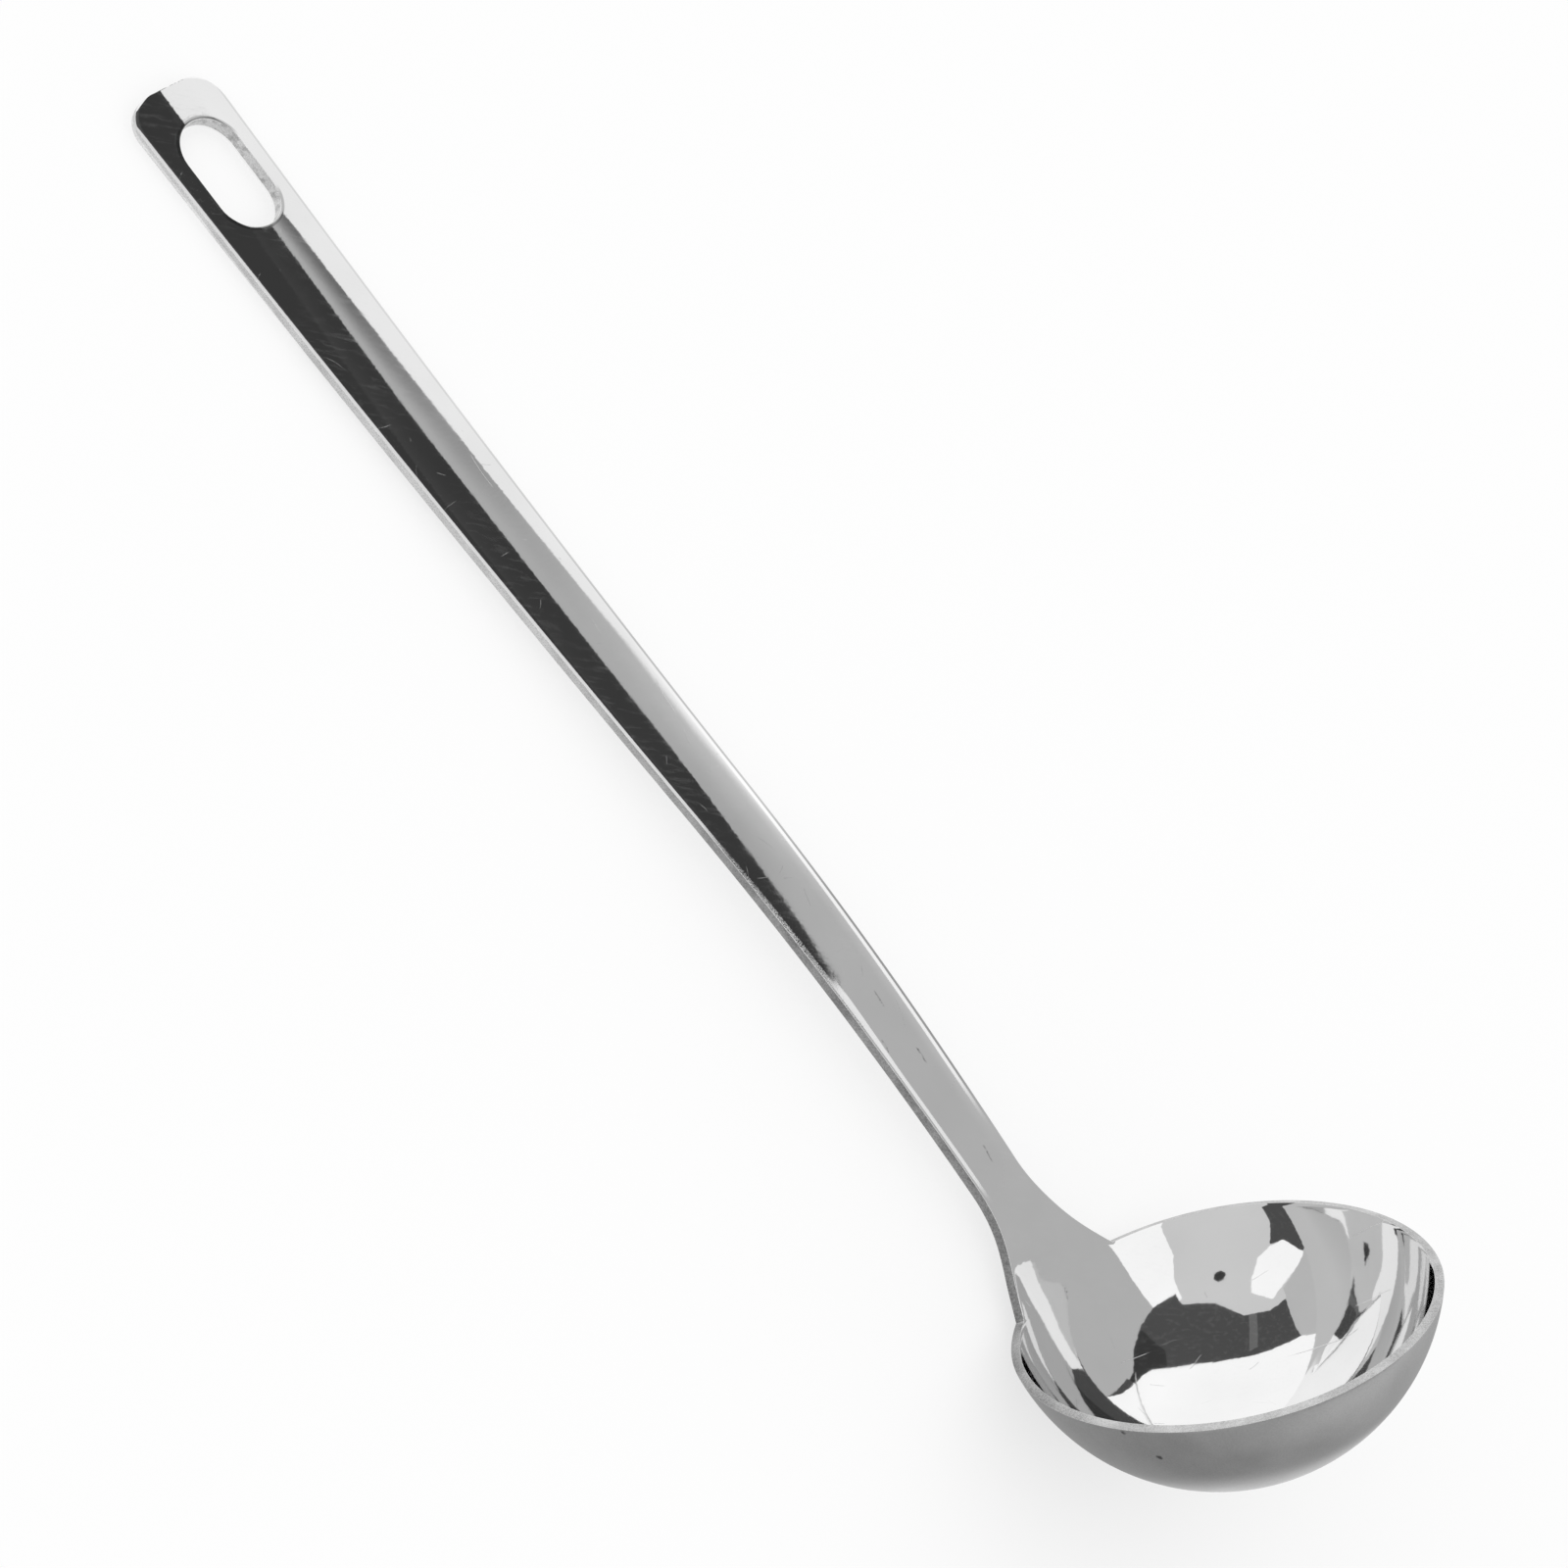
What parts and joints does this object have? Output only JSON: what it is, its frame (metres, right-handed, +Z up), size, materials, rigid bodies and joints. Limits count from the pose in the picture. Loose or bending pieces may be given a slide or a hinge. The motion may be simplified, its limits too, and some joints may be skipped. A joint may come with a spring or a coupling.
{
  "type": "ladle",
  "caption": "One-piece polished steel ladle with a hemispherical bowl, a long tapering curved handle and a rounded hanging slot near the tip.",
  "frame": {"origin": "bottom centre of the bounding box, on the table the ladle lies on", "axes": "+X along the ladle from the bowl to the handle's tip, +Y across it, +Z up from the table; the ladle is symmetrical about the XZ plane, and lies on the underside of its bowl and on its tip with its mouth facing +X and +Z"},
  "size_m": [0.328, 0.0786, 0.0682],
  "materials": {
    "steel": "mirror polished on the handle and inside the bowl, satin on the outside of the bowl, ground along the edges"
  },
  "bodies": {
    "root": {"ladle": "steel"}
  },
  "joints": []
}
